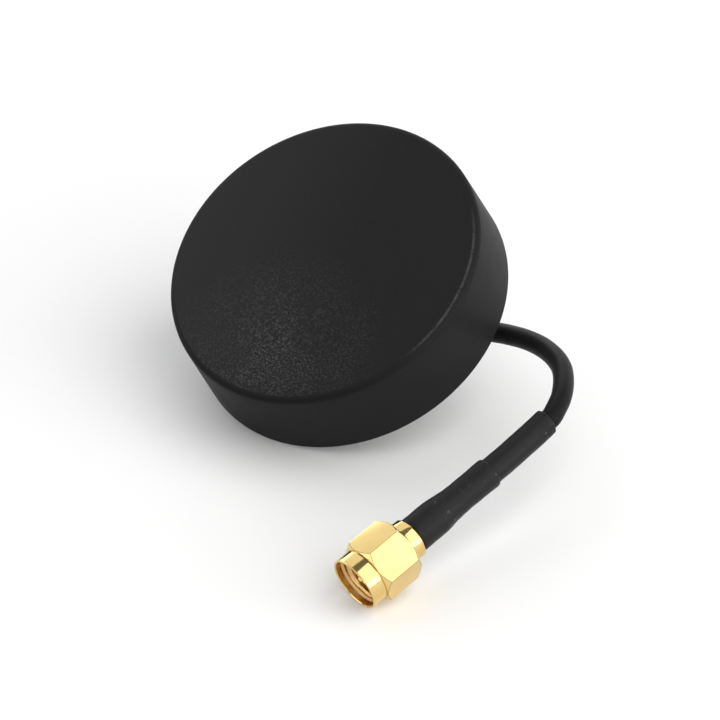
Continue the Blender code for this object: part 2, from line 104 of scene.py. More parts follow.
def makeLights():
    for name, (azimuth, elevation, distance, width, height, watts, colour) in lights.items():
        data = bpy.data.lights.new(name, "AREA")
        data.shape = "RECTANGLE"
        data.size, data.size_y = width, height
        data.energy = watts
        data.color = colour
        made = bpy.data.objects.new(name, data)
        bpy.context.scene.collection.objects.link(made)
        made.location = directionOf(azimuth, elevation) * distance
        made.rotation_euler = made.location.to_track_quat("Z", "Y").to_euler()
    world = bpy.data.worlds.new("studio")
    bpy.context.scene.world = world
    world.use_nodes = True
    nodes, links = world.node_tree.nodes, world.node_tree.links
    nodes.clear()
    where = nodes.new("ShaderNodeTexCoord")
    split = nodes.new("ShaderNodeSeparateXYZ")
    ramp = nodes.new("ShaderNodeValToRGB")
    glow = nodes.new("ShaderNodeBackground")
    out = nodes.new("ShaderNodeOutputWorld")
    links.new(where.outputs["Generated"], split.inputs[0])
    links.new(split.outputs["Z"], ramp.inputs[0])
    links.new(ramp.outputs[0], glow.inputs["Color"])
    links.new(glow.outputs[0], out.inputs[0])
    steps = ramp.color_ramp.elements
    steps.remove(steps[1])
    for i, (height, glowThere) in enumerate(surroundings):
        step = steps.new(height) if i else steps[0]
        step.position = height
        step.color = (glowThere, glowThere, glowThere, 1)
    bpy.context.scene.view_settings.view_transform = "Standard"


makeCamera()
makeLights()
print("camera and lights made")


# materials

def newMaterial(name, colour, roughness, metallic=0.0, specular=0.5):
    made = bpy.data.materials.new(name)
    made.use_nodes = True
    shader = made.node_tree.nodes["Principled BSDF"]
    shader.inputs["Base Color"].default_value = (*colour, 1)
    shader.inputs["Roughness"].default_value = roughness
    shader.inputs["Metallic"].default_value = metallic
    shader.inputs["Specular IOR Level"].default_value = specular
    return made, made.node_tree.nodes, made.node_tree.links, shader


def objectPoint(nodes, links, scale=(1, 1, 1), place=None):
    # object coordinates, stretched, or measured from a place with its z along the place's axis
    where = nodes.new("ShaderNodeTexCoord")
    turned = nodes.new("ShaderNodeMapping")
    turned.vector_type = "POINT"
    if place is not None:
        inwards = place.inverted()
        turned.inputs["Location"].default_value = inwards.translation
        turned.inputs["Rotation"].default_value = inwards.to_euler()
    links.new(where.outputs["Object"], turned.inputs["Vector"])
    stretch = nodes.new("ShaderNodeMapping")
    stretch.inputs["Scale"].default_value = scale
    links.new(turned.outputs[0], stretch.inputs["Vector"])
    return turned.outputs[0], stretch.outputs[0]


def addNoise(nodes, links, point, scale, detail=3.0, roughness=0.55):
    made = nodes.new("ShaderNodeTexNoise")
    made.inputs["Scale"].default_value = scale
    made.inputs["Detail"].default_value = detail
    made.inputs["Roughness"].default_value = roughness
    links.new(point, made.inputs["Vector"])
    return made.outputs["Fac"]


def addRange(nodes, links, value, fromLow, fromHigh, toLow, toHigh):
    made = nodes.new("ShaderNodeMapRange")
    limits = {"From Min": fromLow, "From Max": fromHigh, "To Min": toLow, "To Max": toHigh}
    for socket, number in limits.items():
        made.inputs[socket].default_value = number
    links.new(value, made.inputs["Value"])
    return made.outputs[0]


def addMath(nodes, links, kind, first, second):
    made = nodes.new("ShaderNodeMath")
    made.operation = kind
    for socket, value in zip(made.inputs, (first, second)):
        if isinstance(value, (int, float)):
            socket.default_value = value
        else:
            links.new(value, socket)
    return made.outputs[0]


def blendColour(nodes, links, value, low, high):
    # each end is a plain colour or the output of another node
    made = nodes.new("ShaderNodeMix")
    made.data_type = "RGBA"
    for name, colour in (("A", low), ("B", high)):
        if isinstance(colour, tuple):
            made.inputs[name].default_value = (*colour, 1)
        else:
            links.new(colour, made.inputs[name])
    links.new(value, made.inputs["Factor"])
    return made.outputs["Result"]


def addBump(nodes, links, shader, height, strength, distance):
    made = nodes.new("ShaderNodeBump")
    made.inputs["Strength"].default_value = strength
    made.inputs["Distance"].default_value = distance
    links.new(height, made.inputs["Height"])
    links.new(made.outputs[0], shader.inputs["Normal"])
    return made


radome = {
    "topRadius": 22.2, "edge": 1.0, "crown": 0.4, "chamfer": 0.25, "roof": 1.5, "skirtBore": 20.9,
    "ledgeBore": 19.6, "ledgeLow": 2.9, "ledgeHigh": 4.0, "upperBore": 20.6,
    "screwCircle": 16.6, "bossRadius": 2.1, "pilot": 1.25, "pilotEnd": 6.6, "bossLow": 2.1,
}
radomeLook = {
    # the paler top colour, the speck colour and the rim colour are painted sheen, glints and a highlight; the
    # under colour is a painted shaded line
    "wall": (0.013, 0.013, 0.0132), "top": (0.0148, 0.0148, 0.015), "topSheen": (0.025, 0.025, 0.0253),
    "glintSpeck": (0.075, 0.075, 0.075), "rimHighlightColour": (0.062, 0.062, 0.062), "under": (0.0085, 0.0085, 0.0085),
    "specular": 0.045, "wallRoughness": 0.46, "topRoughness": 0.66,
    "grain": 3300.0, "grainDepth": 0.06 * mm, "wallGrain": 1500.0,
    "glintSpot": (2.0, -15.5), "glintReach": 17.0,  # where the painted glints on the moulded grain stand out most, in mm
    # degrees about the puck's axis, then from and to in mm from it; these place a painted sheen on the top, a
    # painted highlight along the rim and a painted shaded line under it
    "sheenSide": (195.0, -6.0, 21.0), "rimHighlightSide": (12.0, 17.6, 20.4), "underSide": (268.0, 2.0, 16.0),
}


def towards(nodes, links, point, heading, low, high):
    # 0 to 1 across the puck in one direction, low and high in mm from its axis
    turned = nodes.new("ShaderNodeVectorMath")
    turned.operation = "DOT_PRODUCT"
    turned.inputs[1].default_value = (cos(radians(heading)), sin(radians(heading)), 0)
    links.new(point, turned.inputs[0])
    return addRange(nodes, links, turned.outputs["Value"], low * mm, high * mm, 0, 1)


def makeRadomeMaterial():
    look = radomeLook
    made, nodes, links, shader = newMaterial("radomePlastic", look["wall"], 0.5, 0, look["specular"])
    point, _ = objectPoint(nodes, links, place=puckPlace)
    split = nodes.new("ShaderNodeSeparateXYZ")
    links.new(point, split.inputs[0])
    height = split.outputs["Z"]
    flat = nodes.new("ShaderNodeVectorMath")
    flat.operation = "MULTIPLY"
    flat.inputs[1].default_value = (1, 1, 0)
    links.new(point, flat.inputs[0])
    length = nodes.new("ShaderNodeVectorMath")
    length.operation = "LENGTH"
    links.new(flat.outputs[0], length.inputs[0])
    across = length.outputs["Value"]
    edgeHeight = (crownTop - radome["crown"]) * mm
    edgeRadius = (radome["topRadius"] - radome["edge"]) * mm
    aboveWall = addRange(nodes, links, height, edgeHeight - 0.9 * mm, edgeHeight - 0.5 * mm, 0, 1)
    withinEdge = addRange(nodes, links, across, edgeRadius + 0.1 * mm, edgeRadius + 0.3 * mm, 1, 0)
    onTop = addMath(nodes, links, "MULTIPLY", aboveWall, withinEdge)
    grain = addNoise(nodes, links, point, look["grain"], 3, 0.65)
    broad = addNoise(nodes, links, point, 140, 2, 0.5)
    # pale specks on the moulded grain, painted glints, clearest in one place on the low side of the top
    spot = nodes.new("ShaderNodeVectorMath")
    spot.operation = "DISTANCE"
    spot.inputs[1].default_value = Vector((*look["glintSpot"], crownTop)) * mm
    links.new(point, spot.inputs[0])
    nearGlintSpot = addRange(nodes, links, spot.outputs["Value"], look["glintReach"] * mm, 2 * mm, 0.04, 1)
    glintPatches = addMath(nodes, links, "MULTIPLY", addRange(nodes, links, broad, 0.36, 0.6, 0.5, 1), nearGlintSpot)
    grainGlints = addMath(nodes, links, "MULTIPLY", addRange(nodes, links, grain, 0.47, 0.7, 0, 1), glintPatches)
    # painted sheen: the top is paler towards one side, where the light falls
    pale = towards(nodes, links, point, *look["sheenSide"])
    top = blendColour(nodes, links, pale, look["top"], look["topSheen"])
    finish = blendColour(nodes, links, onTop, look["wall"], top)
    grainGlints = addMath(nodes, links, "MULTIPLY", grainGlints, onTop)
    finish = blendColour(nodes, links, grainGlints, finish, look["glintSpeck"])
    # a painted shaded line under the edge of the top, and a painted highlight along the edge on one side
    shaded = addMath(nodes, links, "MULTIPLY", aboveWall,
                     addRange(nodes, links, across, edgeRadius + 0.45 * mm, edgeRadius + 0.62 * mm, 0, 1))
    lowSide = towards(nodes, links, point, *look["underSide"])
    under = addMath(nodes, links, "MULTIPLY", shaded, lowSide)
    finish = blendColour(nodes, links, under, finish, look["under"])
    # painted highlight along the rim on its lit side, broken up by noise
    rimIn = addRange(nodes, links, across, edgeRadius, edgeRadius + 0.16 * mm, 0, 1)
    rimHigh = addRange(nodes, links, across, edgeRadius + 0.3 * mm, edgeRadius + 0.5 * mm, 1, 0)
    brokenLine = addRange(nodes, links, addNoise(nodes, links, point, 2300, 5, 0.75), 0.36, 0.6, 0, 1)
    rimHighlightSide = towards(nodes, links, point, *look["rimHighlightSide"])
    rimHighlight = addMath(nodes, links, "MULTIPLY", rimIn, rimHigh)
    for mask in (brokenLine, aboveWall, rimHighlightSide):
        rimHighlight = addMath(nodes, links, "MULTIPLY", rimHighlight, mask)
    finish = blendColour(nodes, links, rimHighlight, finish, look["rimHighlightColour"])
    links.new(finish, shader.inputs["Base Color"])
    rough = addRange(nodes, links, onTop, 0, 1, look["wallRoughness"], look["topRoughness"])
    cloud = addRange(nodes, links, broad, 0.3, 0.7, -0.04, 0.04)
    links.new(addMath(nodes, links, "ADD", rough, cloud), shader.inputs["Roughness"])
    fine = addMath(nodes, links, "MULTIPLY", grain, addRange(nodes, links, onTop, 0, 1, 0.12, 1))
    soft = addMath(nodes, links, "MULTIPLY", addNoise(nodes, links, point, look["wallGrain"], 3), 0.3)
    addBump(nodes, links, shader, addMath(nodes, links, "ADD", fine, soft), 0.7, look["grainDepth"])
    return made


def makePlasticMaterial(name, colour, paler, roughness, scale, depth, specular):
    # moulded or extruded plastic and rubber: a cloudy colour, uneven sheen and a fine skin
    made, nodes, links, shader = newMaterial(name, colour, roughness, 0, specular)
    point, _ = objectPoint(nodes, links)
    broad = addNoise(nodes, links, point, scale * 0.12, 3)
    fine = addNoise(nodes, links, point, scale, 4, 0.6)
    cloudy = addRange(nodes, links, broad, 0.35, 0.7, 0, 1)
    links.new(blendColour(nodes, links, cloudy, colour, paler), shader.inputs["Base Color"])
    uneven = addRange(nodes, links, fine, 0.3, 0.7, roughness - 0.06, roughness + 0.08)
    links.new(uneven, shader.inputs["Roughness"])
    addBump(nodes, links, shader, fine, 0.5, depth)
    return made


sleeveLook = {
    "colour": (0.013, 0.013, 0.0133), "scuff": (0.12, 0.12, 0.12), "roughness": 0.46, "specular": 0.12,
    "nicks": [(23.9, 0.7), (15.4, 1.1)],  # heights along the plug and reach, in mm
}


def makeSleeveMaterial():
    # shrunk tubing: fine lines along it, with pale scuffs where it has rubbed
    look = sleeveLook
    made, nodes, links, shader = newMaterial(
        "shrunkSleeve", look["colour"], look["roughness"], 0, look["specular"])
    point, drawn = objectPoint(nodes, links, (1, 1, 0.12), plugPlace)
    lines = addNoise(nodes, links, drawn, 1800, 3)
    broad = addNoise(nodes, links, point, 260, 3)
    marks = addRange(nodes, links, addNoise(nodes, links, point, 1400, 5, 0.7), 0.6, 0.7, 0, 1)
    scuffs = addMath(nodes, links, "MULTIPLY", marks, addRange(nodes, links, broad, 0.52, 0.6, 0, 0.6))
    # paler nicks at the step between the sleeves and over the end of the ferrule
    split = nodes.new("ShaderNodeSeparateXYZ")
    links.new(point, split.inputs[0])
    for place, reach in look["nicks"]:
        away = addMath(nodes, links, "SUBTRACT", split.outputs["Z"], place * mm)
        away = addMath(nodes, links, "ABSOLUTE", away, 0)
        near = addRange(nodes, links, away, 0.3 * reach * mm, reach * mm, 1, 0)
        nicks = addRange(nodes, links, addNoise(nodes, links, point, 1900, 5, 0.7), 0.57, 0.66, 0, 0.45)
        scuffs = addMath(nodes, links, "MAXIMUM", scuffs, addMath(nodes, links, "MULTIPLY", near, nicks))
    links.new(blendColour(nodes, links, scuffs, look["colour"], look["scuff"]), shader.inputs["Base Color"])
    links.new(addRange(nodes, links, broad, 0.3, 0.7, 0.38, 0.56), shader.inputs["Roughness"])
    addBump(nodes, links, shader, lines, 0.4, 0.03 * mm)
    return made


def makeMetalMaterial(name, colour, darker, roughness, scale, depth, place, drawn):
    # turned and plated metal: faint lathe lines, a cloudy tint and uneven polish
    made, nodes, links, shader = newMaterial(name, colour, roughness, 1, 0.5)
    point, lined = objectPoint(nodes, links, (1, 1, drawn), place)
    cloud = addNoise(nodes, links, point, scale * 0.15, 3)
    lines = addNoise(nodes, links, lined, scale, 3)
    cloudy = addRange(nodes, links, cloud, 0.35, 0.75, 0, 1)
    links.new(blendColour(nodes, links, cloudy, colour, darker), shader.inputs["Base Color"])
    polish = addRange(nodes, links, lines, 0.3, 0.7, roughness * 0.75, roughness * 1.35)
    links.new(polish, shader.inputs["Roughness"])
    addBump(nodes, links, shader, lines, 0.25, depth)
    return made


def makeFoamMaterial():
    made, nodes, links, shader = newMaterial("closedFoam", (0.016, 0.016, 0.016), 0.92, 0, 0.2)
    point, _ = objectPoint(nodes, links)
    cells = nodes.new("ShaderNodeTexVoronoi")
    cells.inputs["Scale"].default_value = 4200
    links.new(point, cells.inputs["Vector"])
    links.new(blendColour(nodes, links, addRange(nodes, links, cells.outputs["Distance"], 0.1, 0.7, 0, 1),
              (0.03, 0.03, 0.03), (0.008, 0.008, 0.008)), shader.inputs["Base Color"])
    addBump(nodes, links, shader, cells.outputs["Distance"], 0.8, 0.08 * mm)
    return made


def makeBoardMaterial():
    # solder mask over copper tracks on glass laminate
    made, nodes, links, shader = newMaterial("solderMask", (0.012, 0.09, 0.035), 0.32, 0, 0.5)
    point, _ = objectPoint(nodes, links, place=puckPlace)
    tracks = nodes.new("ShaderNodeTexBrick")
    tracks.inputs["Scale"].default_value = 420
    tracks.inputs["Mortar Size"].default_value = 0.08
    tracks.inputs["Color1"].default_value = (0.012, 0.1, 0.04, 1)
    tracks.inputs["Color2"].default_value = (0.01, 0.08, 0.03, 1)
    tracks.inputs["Mortar"].default_value = (0.02, 0.15, 0.06, 1)
    links.new(point, tracks.inputs["Vector"])
    links.new(tracks.outputs["Color"], shader.inputs["Base Color"])
    weave = addNoise(nodes, links, point, 2600, 2)
    addBump(nodes, links, shader, addMath(nodes, links, "ADD", tracks.outputs["Fac"], weave), 0.3, 0.03 * mm)
    return made


plastics = {
    # name: colour, paler colour, roughness, grain scale, grain depth in mm, gloss
    "basePlastic": ((0.013, 0.013, 0.0135), (0.02, 0.02, 0.02), 0.5, 2200, 0.03, 0.35),
    "cableJacket": ((0.0085, 0.0085, 0.0087), (0.015, 0.015, 0.015), 0.4, 1500, 0.02, 0.06),
    "sealRubber": ((0.02, 0.02, 0.02), (0.03, 0.03, 0.03), 0.65, 1800, 0.03, 0.35),
    "redSilicone": ((0.35, 0.03, 0.015), (0.42, 0.05, 0.03), 0.45, 1500, 0.02, 0.35),
    "turnedPtfe": ((0.8, 0.79, 0.75), (0.86, 0.85, 0.82), 0.4, 1600, 0.02, 0.35),
    "foamTape": ((0.66, 0.66, 0.62), (0.74, 0.74, 0.7), 0.75, 2400, 0.05, 0.35),
    "firedCeramic": ((0.46, 0.41, 0.33), (0.58, 0.53, 0.45), 0.62, 2600, 0.04, 0.35),
    "chipEpoxy": ((0.02, 0.02, 0.021), (0.03, 0.03, 0.03), 0.55, 3000, 0.03, 0.35),
}
metals = {
    # name: colour, darker colour, roughness, line scale, line depth in mm, whose axis, drawn along it
    "polishedGold": ((0.8, 0.6, 0.245), (0.74, 0.53, 0.2), 0.11, 1500, 0.004, plugPlace, 6),
    # duller gold inside the bore, its darker colour partly painted shade in the recess
    "shadedBoreGold": ((0.76, 0.5, 0.21), (0.6, 0.36, 0.13), 0.2, 1500, 0.008, plugPlace, 6),
    # dark gold along the hexagon's edges: painted dark reflections
    "darkEdgeReflectionGold": ((0.24, 0.14, 0.05), (0.14, 0.08, 0.03), 0.3, 1500, 0.008, plugPlace, 6),
    "zincPlate": ((0.66, 0.66, 0.64), (0.5, 0.5, 0.49), 0.3, 1300, 0.01, puckPlace, 5),
    "springBronze": ((0.6, 0.38, 0.18), (0.45, 0.27, 0.12), 0.32, 1600, 0.01, None, 1),
    "tinPlate": ((0.72, 0.72, 0.71), (0.58, 0.58, 0.58), 0.28, 900, 0.01, None, 1),
    "firedSilver": ((0.86, 0.85, 0.82), (0.7, 0.68, 0.63), 0.4, 2400, 0.02, None, 1),
}
surfaces = {
    "radomePlastic": makeRadomeMaterial(), "shrunkSleeve": makeSleeveMaterial(),
    "closedFoam": makeFoamMaterial(), "solderMask": makeBoardMaterial(),
}
for name, (colour, paler, roughness, scale, depth, gloss) in plastics.items():
    surfaces[name] = makePlasticMaterial(name, colour, paler, roughness, scale, depth * mm, gloss)
for name, (colour, darker, roughness, scale, depth, place, drawn) in metals.items():
    surfaces[name] = makeMetalMaterial(name, colour, darker, roughness, scale, depth * mm, place, drawn)
print("materials made:", len(bpy.data.materials))


# modelling by hand

def deselectAll():
    if bpy.context.object is not None and bpy.context.object.mode != "OBJECT":
        bpy.ops.object.mode_set(mode="OBJECT")
    bpy.ops.object.select_all(action="DESELECT")


def pick(piece):
    deselectAll()
    piece.select_set(True)
    bpy.context.view_layer.objects.active = piece


def latheSolid(name, outline, steps=96):
    # draws an outline of (radius, height) points in mm by extruding one corner, then spins it about z
    deselectAll()
    bpy.ops.mesh.primitive_plane_add(size=mm)
    piece = bpy.context.object
    piece.name = piece.data.name = name
    bpy.ops.object.mode_set(mode="EDIT")
    bpy.ops.mesh.merge(type="CENTER")
    points = [Vector((r, 0, z)) * mm for r, z in outline]
    bpy.ops.transform.translate(value=points[0])
    closed = outline[0][0] > 0 or outline[-1][0] > 0
    for here, there in zip(points, points[1:] + ([points[0]] if closed else [])):
        bpy.ops.mesh.extrude_vertices_move(TRANSFORM_OT_translate={"value": there - here})
    bpy.ops.mesh.select_all(action="SELECT")
    bpy.ops.mesh.spin(steps=steps, angle=tau, center=(0, 0, 0), axis=(0, 0, 1))
    bpy.ops.mesh.select_all(action="SELECT")
    bpy.ops.mesh.remove_doubles(threshold=0.002 * mm)
    bpy.ops.mesh.normals_make_consistent(inside=False)
    bpy.ops.object.mode_set(mode="OBJECT")
    return piece


def arcPoints(centre, radius, start, end, count=6):
    turns = [radians(start + (end - start) * i / count) for i in range(count + 1)]
    return [(centre[0] + radius * cos(a), centre[1] + radius * sin(a)) for a in turns]


def rowsBetween(radius, start, end, spacing):
    # evenly spaced points down a plain wall, for a thread or a wrinkle to move
    count = ceil(abs(end - start) / spacing)
    return [(radius, start + (end - start) * i / count) for i in range(count + 1)]


def hexBlank(name, flats, low, high, turn=0.0):
    deselectAll()
    bpy.ops.mesh.primitive_cylinder_add(
        vertices=6, radius=flats / 2 / cos(pi / 6) * mm, depth=(high - low) * mm,
        location=(0, 0, (high + low) / 2 * mm), rotation=(0, 0, turn))
    piece = bpy.context.object
    piece.name = piece.data.name = name
    bpy.ops.object.transform_apply(location=True, rotation=True, scale=True)
    return piece


def boxBlank(name, size, centre, turn=0.0):
    deselectAll()
    bpy.ops.mesh.primitive_cube_add(size=1, location=Vector(centre) * mm, rotation=(0, 0, turn))
    piece = bpy.context.object
    piece.name = piece.data.name = name
    piece.scale = Vector(size) * mm
    bpy.ops.object.transform_apply(location=True, rotation=True, scale=True)
    return piece


def applyModifiers(piece):
    pick(piece)
    for modifier in list(piece.modifiers):
        bpy.ops.object.modifier_apply(modifier=modifier.name)


def shapeWith(piece, tool, operation="DIFFERENCE"):
    # cuts, joins or keeps the shared part, then throws the tool away
    change = piece.modifiers.new(operation.title(), "BOOLEAN")
    change.operation = operation
    change.solver = "EXACT"
    change.object = tool
    applyModifiers(piece)
    bpy.data.objects.remove(tool)
    return piece


def softenEdges(piece, width, segments=2, angle=35):
    change = piece.modifiers.new("Soften", "BEVEL")
    change.width = width * mm
    change.segments = segments
    change.limit_method = "ANGLE"
    change.angle_limit = radians(angle)
    change.harden_normals = False
    applyModifiers(piece)
    return piece


def rollThread(piece, radius, depth, pitch, low, high):
    # pushes the rows of a plain wall in along a right-handed screw line, fading out at both ends
    for vertex in piece.data.vertices:
        x, y, z = vertex.co / mm
        across = hypot(x, y)
        if abs(across - radius) < 0.02 and low < z < high:
            turn = (z / pitch - atan2(y, x) / tau) % 1
            valley = min(1, max(0, (abs(turn * 2 - 1) - 0.12) / 0.76))
            fade = min(1, (z - low) / pitch, (high - z) / pitch)
            keep = 1 - depth * valley * fade / across
            vertex.co.x *= keep
            vertex.co.y *= keep


def finishPiece(piece, place, body, surface, nodes=(), angle=32):
    # settles a piece in the frame, hangs it on the body it rides on and hides the imported parts it stands
    # for
    piece.data.transform(place)
    pick(piece)
    bpy.ops.object.shade_smooth_by_angle(angle=radians(angle))
    piece.data.materials.clear()
    piece.data.materials.append(surfaces[surface])
    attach(piece, body)
    if nodes:
        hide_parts(*nodes)
    return piece


# cable

cable = {
    "diameter": 2.8, "start": 1.8, "turnAt": -1.2, "bend": 5.9, "slotTurn": 26.0,  # inside the stud
    "tail": [35.9, 34.9, 32.5, 29.5, 27.0, 24.0, 19.0, 15.4],  # distances behind the plug's face
    "route": [
        (5.6, 8.9, 6.8), (8.5, 9.9, 7.6), (12.0, 10.7, 8.6), (15.6, 11.1, 9.7), (19.1, 11.0, 10.8),
        (22.0, 10.6, 11.7), (24.9, 9.9, 12.6), (27.8, 8.9, 13.4), (30.4, 7.7, 14.0), (32.7, 6.3, 14.5),
        (34.8, 4.7, 14.8), (36.5, 2.9, 14.9), (37.95, 0.95, 14.85), (39.1, -1.0, 14.7), (39.8, -2.8, 14.45),
    ],
}
sleeves = {
    "front": 10.32, "step": 24.1, "innerStart": 17.6, "end": 34.9, "bow": 0.45, "rowSpacing": 0.3,
    "ferruleRadius": 2.45, "outerRadius": 2.06, "innerRadius": 1.82, "bore": 1.45,
}


def sleeveMiddle(distance):
    # the middle of the sleeves this far behind the plug's face: the inner one bows sideways
    past = max(0, distance - sleeves["step"]) / (sleeves["end"] - sleeves["step"])
    return Vector((-sleeves["bow"] * past ** 2, 0, distance))


def smoothRoute(points, perStretch):
    ends = [points[0] * 2 - points[1], *points, points[-1] * 2 - points[-2]]
    dense = []
    for a, b, c, d in zip(ends, ends[1:], ends[2:], ends[3:]):
        for i in range(perStretch):
            t = i / perStretch
            bent = (c - a) * t + (a * 2 - b * 5 + c * 4 - d) * t**2 + (b * 3 - a - c * 3 + d) * t**3
            dense.append(b + bent / 2)
    return [*dense, points[-1]]


def drawCable(name, points, radius):
    data = bpy.data.curves.new(name, "CURVE")
    data.dimensions = "3D"
    data.bevel_depth = radius
    data.bevel_resolution = 8
    data.use_fill_caps = True
    line = data.splines.new("POLY")
    line.points.add(len(points) - 1)
    for spot, place in zip(line.points, points):
        spot.co = (*place, 1)
    line.use_smooth = True
    made = bpy.data.objects.new(name, data)
    bpy.context.scene.collection.objects.link(made)
    made.data.materials.append(surfaces["cableJacket"])
    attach(made, "antenna")
    return made


def makeCable():
    turn = radians(cable["slotTurn"])
    across = Vector((cos(turn), sin(turn), 0))
    inside = [Vector((0, 0, cable["start"])), Vector((0, 0, cable["turnAt"]))]
    bendSteps = 12
    for i in range(1, bendSteps + 1):
        a = pi / 2 * i / bendSteps
        down = Vector((0, 0, cable["turnAt"] - cable["bend"] * sin(a)))
        inside.append(across * cable["bend"] * (1 - cos(a)) + down)
    inner = drawCable("cableInStud", [puckPlace @ (p * mm) for p in inside], cable["diameter"] / 2 * mm)
    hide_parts("coax_inner_run")
    route = [Vector(p) * mm for p in cable["route"]]
    route += [plugPlace @ (sleeveMiddle(d) * mm) for d in cable["tail"]]
    points = smoothRoute(route, 6)
    length = sum((b - a).length for a, b in zip(points, points[1:]))
    free = drawCable("freeCable", points, cable["diameter"] / 2 * mm)
    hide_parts("coax_cable")
    return free, route[0], length


freeCable, slotExit, cableLength = makeCable()
print("cable laid, mm:", round(cableLength / mm, 1))


# puck

screwTurns = [radians(90 * i) for i in range(4)]


def screwShift(turn):
    # from the puck's axis to the middle of a base screw
    return Matrix.Translation(Vector((cos(turn), sin(turn), 0)) * radome["screwCircle"] * mm)


def makeRadome():
    high = crownTop - radome["crown"]
    flatEnd = radome["topRadius"] - radome["edge"]
    crownAt = (0, 4, 8, 12, 15, 18, 20)
    outline = [(r, high + radome["crown"] * (1 - (r / flatEnd) ** 2)) for r in crownAt]
    outline += arcPoints((flatEnd, high - radome["edge"]), radome["edge"], 90, 0, 10)
    chamfer = radome["chamfer"]
    wall = [(radome["topRadius"] + (rimRadius - radome["topRadius"]) * i / 6,
             high - radome["edge"] - (high - radome["edge"] - chamfer) * i / 6) for i in range(1, 7)]
    outline += [*wall, (rimRadius - chamfer, 0)]
    outline += [
        (radome["skirtBore"] + 0.2, 0), (radome["skirtBore"], 0.2),
        (radome["skirtBore"], radome["ledgeLow"]),
        (radome["ledgeBore"], radome["ledgeLow"]), (radome["ledgeBore"], radome["ledgeHigh"]),
        (radome["upperBore"], radome["ledgeHigh"] + 0.4),
        (radome["upperBore"], high - radome["roof"] - 0.8),
        (radome["upperBore"] - 0.8, high - radome["roof"]),
        (0, high - radome["roof"] + radome["crown"]),
    ]
    shell = latheSolid("radomeShell", outline, 240)
    inBoss = [
        (0, high - radome["roof"] / 2), (radome["bossRadius"], high - radome["roof"] / 2),
        (radome["bossRadius"], radome["bossLow"]), (radome["pilot"] + 0.2, radome["bossLow"]),
        (radome["pilot"], radome["bossLow"] + 0.2), (radome["pilot"], radome["pilotEnd"]),
        (0, radome["pilotEnd"]),
    ]
    for i, turn in enumerate(screwTurns):
        boss = latheSolid(f"boss{i}", inBoss, 32)
        boss.data.transform(screwShift(turn))
        shapeWith(shell, boss, "UNION")
    return finishPiece(shell, puckPlace, "antenna", "radomePlastic", ["radome"], 30)


makeRadome()
print("radome made")


# plug

nut = {
    "flats": 7.94, "turn": 18.5, "collarRadius": 3.8, "collarLength": 2.2, "length": 8.15,
    "edge": 0.14, "relief": 0.1, "darkEdgeLean": (0.12, 0.62), "darkEdgeReach": 24,  # how far the painted dark reflections on the edges reach
    "mouthRadius": 3.46, "mouthDepth": 0.9, "threadRadius": 3.18, "threadDepth": 0.42, "pitch": 0.706,
    "threadEnd": 5.4, "web": 2.6, "grooveLow": 6.2, "grooveHigh": 7.1, "groove": 3.1,
}


def makeCouplingNut():
    corner = nut["flats"] / 2 / cos(pi / 6)
    ease = corner - nut["flats"] / 2
    piece = hexBlank("couplingNut", nut["flats"], nut["collarLength"], nut["length"], radians(nut["turn"]))
    high, low = nut["length"], nut["collarLength"]
    envelope = latheSolid("envelope", [
        (0, high), (corner - ease - 0.05, high), (corner + 0.05, high - ease * 1.2),
        (corner + 0.05, low + ease * 1.2), (corner - ease - 0.05, low), (0, low)], 180)
    shapeWith(piece, envelope, "INTERSECT")
    softenEdges(piece, nut["edge"], 3, 20)
    neck, relief = nut["collarRadius"], nut["relief"]
    collar = latheSolid("collar", [
        (0, low + 1), (neck - relief, low + 1), (neck - relief, low - relief), (neck, low - relief * 1.6),
        (neck, 0.14), *arcPoints((neck - 0.14, 0.14), 0.14, 0, -90, 4)[1:], (0, 0)], 180)
    shapeWith(piece, collar, "UNION")
    threadStart = nut["mouthDepth"] + 0.25
    rows = rowsBetween(nut["threadRadius"], threadStart, nut["threadEnd"], nut["pitch"] / 10)
    bore = latheSolid("bore", [
        (0, high + 1), (nut["web"] + 0.25, high + 1), (nut["web"] + 0.25, high),
        (nut["web"], high - 0.25), (nut["web"], nut["grooveHigh"]),
        (nut["groove"], nut["grooveHigh"]), (nut["groove"], nut["grooveLow"]),
        (nut["web"], nut["grooveLow"]), (nut["web"], nut["threadEnd"]), *reversed(rows),
        (nut["mouthRadius"], nut["mouthDepth"]), (nut["mouthRadius"], 0.1), (nut["mouthRadius"] + 0.1, 0),
        (nut["mouthRadius"] + 0.1, -1), (0, -1)], 96)
    rollThread(bore, nut["threadRadius"], nut["threadDepth"], nut["pitch"], threadStart, nut["threadEnd"])
    shapeWith(piece, bore)
    finishPiece(piece, plugPlace, "plug_nut", "polishedGold", ["coupling_nut"], 24)
    # inside the bore the plating is thinner and duller, and its darker colour there is partly painted shade
    # in the recess; the hexagon's edges carry painted dark reflections
    piece.data.materials.append(surfaces["shadedBoreGold"])
    piece.data.materials.append(surfaces["darkEdgeReflectionGold"])
    toPlug = plugPlace.inverted()
    level, steep = nut["darkEdgeLean"]
    for face in piece.data.polygons:
        spot = toPlug @ face.center / mm
        normal = toPlug.to_3x3() @ face.normal
        if spot.xy.length < nut["mouthRadius"] + 0.02 and 0.12 < spot.z < nut["grooveHigh"]:
            face.material_index = 1
        elif spot.xy.length > neck + 0.05:
            offFlat = abs((degrees(atan2(normal.y, normal.x)) - nut["turn"]) % 60 - 30)
            lean = abs(normal.z)
            if lean < level and offFlat < nut["darkEdgeReach"] or level < lean < steep:
                face.material_index = 2


